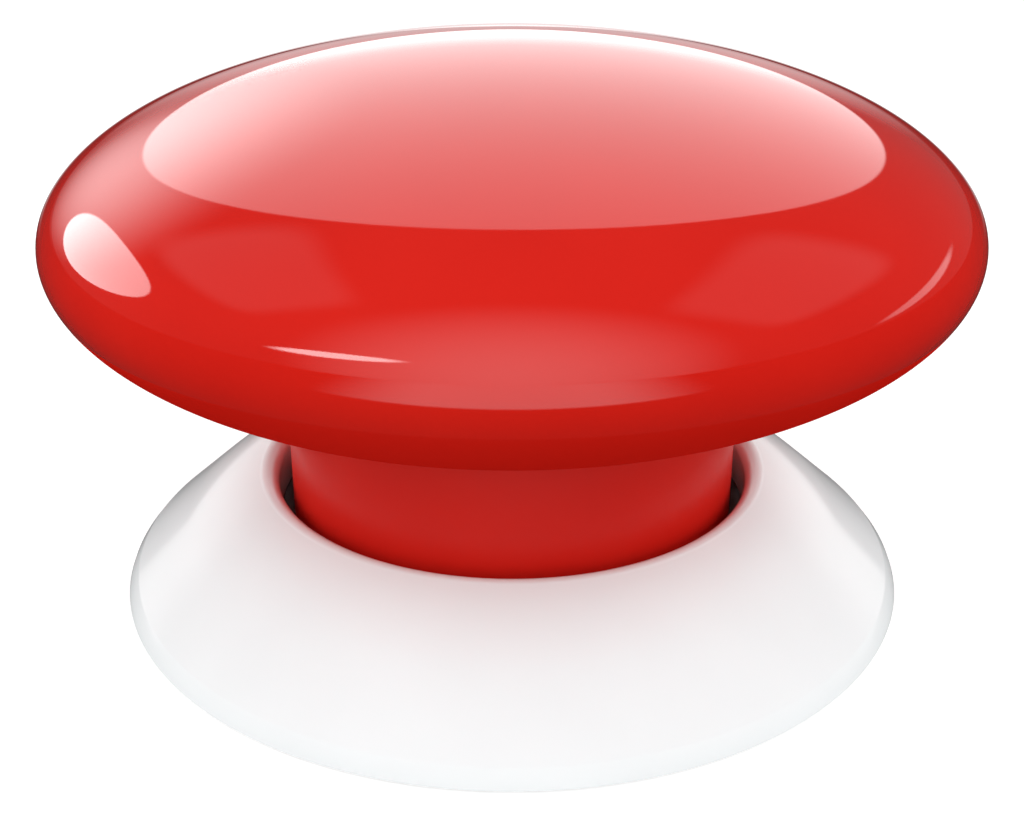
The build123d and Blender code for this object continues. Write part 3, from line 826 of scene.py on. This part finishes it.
def floor():
    """White paper floor that keeps the object's shadow.

    Reflections see painted light on it: a dark painted shadow near the object, and a painted glow behind and
    in front.
    """
    made, tree, shader, place = principled("white_paper")
    shader.inputs["Specular IOR Level"].default_value = 0.0
    shader.inputs["Roughness"].default_value = 0.9
    shader.inputs["Emission Color"].default_value = (1, 1, 1, 1)
    rays = add(tree, "ShaderNodeLightPath")
    grain = mottled(tree, place, PAPER_SPOTS, PAPER_GREY)
    tint = add(tree, "ShaderNodeCombineXYZ", wires={"X": grain, "Y": grain, "Z": grain})
    apart = add(tree, "ShaderNodeVectorMath", wires={0: place}, operation="LENGTH").outputs["Value"]
    paper = add(tree, "ShaderNodeMapRange", {"To Min": PAPER_NEAR, "To Max": PAPER_FAR},
                {"Value": patch(tree, (apart, PAPER_FADE))})
    glow = add(tree, "ShaderNodeMath", wires={0: paper.outputs["Result"], 1: rays.outputs["Is Camera Ray"]},
               operation="MULTIPLY")
    tree.links.new(tint.outputs[0], shader.inputs["Base Color"])
    tree.links.new(glow.outputs[0], shader.inputs["Emission Strength"])
    # In reflections the floor shows an emission: a painted shadow near the object and painted light behind
    # and in front
    parts = add(tree, "ShaderNodeSeparateXYZ", wires={"Vector": place})
    aside = add(tree, "ShaderNodeMath", wires={0: parts.outputs["X"]}, operation="ABSOLUTE").outputs[0]
    behind = patch(tree, (parts.outputs["Y"], BEHIND_FADE), (aside, BEHIND_SIDES))
    far = add(tree, "ShaderNodeMapRange", {"To Min": FLOOR_NEAR_PAINTED_SHADOW, "To Max": FLOOR_FAR_PAINTED_GLOW},
              {"Value": behind})
    ahead = add(tree, "ShaderNodeMath", {1: -1.0}, {0: parts.outputs["Y"]}, operation="MULTIPLY").outputs[0]
    slant = add(tree, "ShaderNodeMath", wires={0: aside, 1: ahead}, operation="DIVIDE")
    narrow = add(tree, "ShaderNodeMapRange",
                 {"From Min": FRONT_SLANT[0], "From Max": FRONT_SLANT[1], "To Min": 1.0, "To Max": 0.0},
                 {"Value": slant.outputs[0]}, interpolation_type="SMOOTHSTEP")
    reach = patch(tree, (ahead, FRONT_NEAR_FADE), (ahead, FRONT_FAR_FADE))
    front = add(tree, "ShaderNodeMath", wires={0: narrow.outputs["Result"], 1: reach}, operation="MULTIPLY")
    bright = add(tree, "ShaderNodeMath", {1: FLOOR_FRONT_PAINTED_GLOW},
                 {0: front.outputs[0], 2: far.outputs["Result"]}, operation="MULTIPLY_ADD")
    shine = add(tree, "ShaderNodeEmission", wires={"Strength": bright.outputs[0]})
    mixed = add(tree, "ShaderNodeMixShader", wires={
        0: rays.outputs["Is Glossy Ray"], 1: shader.outputs["BSDF"], 2: shine.outputs[0]})
    tree.links.new(mixed.outputs[0], tree.nodes["Material Output"].inputs["Surface"])
    mesh = bpy.data.meshes.new("floor")
    side = mm(FLOOR_REACH)
    corners = [(-side, -side, 0), (side, -side, 0), (side, side, 0), (-side, side, 0)]
    mesh.from_pydata(corners, [], [(0, 1, 2, 3)])
    mesh.materials.append(made)
    plane = bpy.data.objects.new("paper_floor", mesh)
    bpy.context.scene.collection.objects.link(plane)


def studio(cap_pieces, dish):
    """Camera, sky, floor, soft lamps, and the reflectors that the cap and the base mirror."""
    camera()
    world()
    floor()
    lamp("front_left_key", toward(-120, 38), width=45, radiance=2.0)
    lamp("front_right_key", toward(120, 38), width=45, radiance=2.0)
    lamp("front_fill", toward(180, 36), width=30, radiance=0.4)
    lamp("front_low", toward(180, 18), width=40, radiance=2.3)
    lamp("left_low", toward(-66, 16), width=40, radiance=2.8)
    lamp("right_low", toward(66, 16), width=40, radiance=2.8)
    cap = only("cap_reflectors", cap_pieces)
    base = only("base_reflectors", [dish])
    card("overhead_disc", toward(0.4, 39), 69.8, 71, radiance=1.85, receivers=cap, soft=0.02)
    card("overhead_left_haze", toward(-42, 22), 60, 50, radiance=2.1, receivers=cap, soft=0.95)
    card("back_wall", toward(0, 4), 56, 20, radiance=0.6, receivers=cap, soft=0.6, square=3)
    card("left_window", toward(-67, 16.4), 40, 22.5, radiance=4.8, receivers=cap, roll=16)
    card("right_sliver", toward(75.5, 6), 42, 5.5, radiance=1.6, receivers=cap, soft=0.4, roll=11)
    card("front_strip", toward(-141, 18), 34, 6.5, radiance=10.0, receivers=cap, soft=0.4, roll=10)
    card("front_wall", toward(180, 9), 105, 128, radiance=1.8, receivers=cap, soft=1.0)
    card("left_side_box", toward(-88, 50), 46, 34, radiance=0.38, receivers=cap, soft=0.35, square=5)
    card("right_side_box", toward(94, 44), 50, 40, radiance=0.38, receivers=cap, soft=0.35, square=5)
    card("back_glow", toward(0, 12), 150, 60, radiance=1.3, receivers=base, soft=0.8)


cap_pieces = [cap_crown(), cap_belly()]
dish = base_dish()
foot_ring()
coil()
paint_cad()
studio(cap_pieces, dish)
bpy.context.scene.view_settings.view_transform = "Standard"
